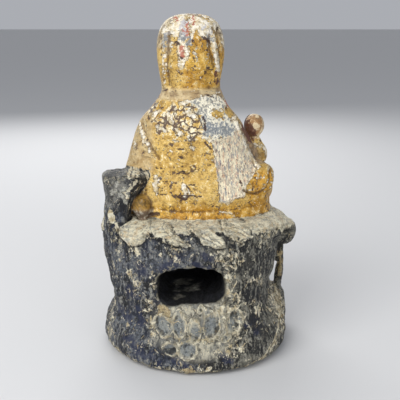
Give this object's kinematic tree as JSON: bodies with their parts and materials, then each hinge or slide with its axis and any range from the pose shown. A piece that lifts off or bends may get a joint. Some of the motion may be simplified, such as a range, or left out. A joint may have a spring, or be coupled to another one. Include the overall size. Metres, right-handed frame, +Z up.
{
  "type": "wooden guanyin figure",
  "caption": "Seated guanyin in a long veil and robe with a child on one knee, carved in one block with its pierced rock plinth and a flat-topped stump at the elbow.",
  "frame": {"origin": "middle of the plinth's flat underside", "axes": "+Z up to the crown, -Y the way the figure faces, +X the figure's left"},
  "size_m": [0.2248, 0.2126, 0.36],
  "materials": {
    "painted_wood": "worn gilding over white ground on the figure, dark blue-black paint on the rock"
  },
  "bodies": {
    "root": {"guanyin_figure_with_rock_plinth": "painted_wood"}
  },
  "joints": []
}
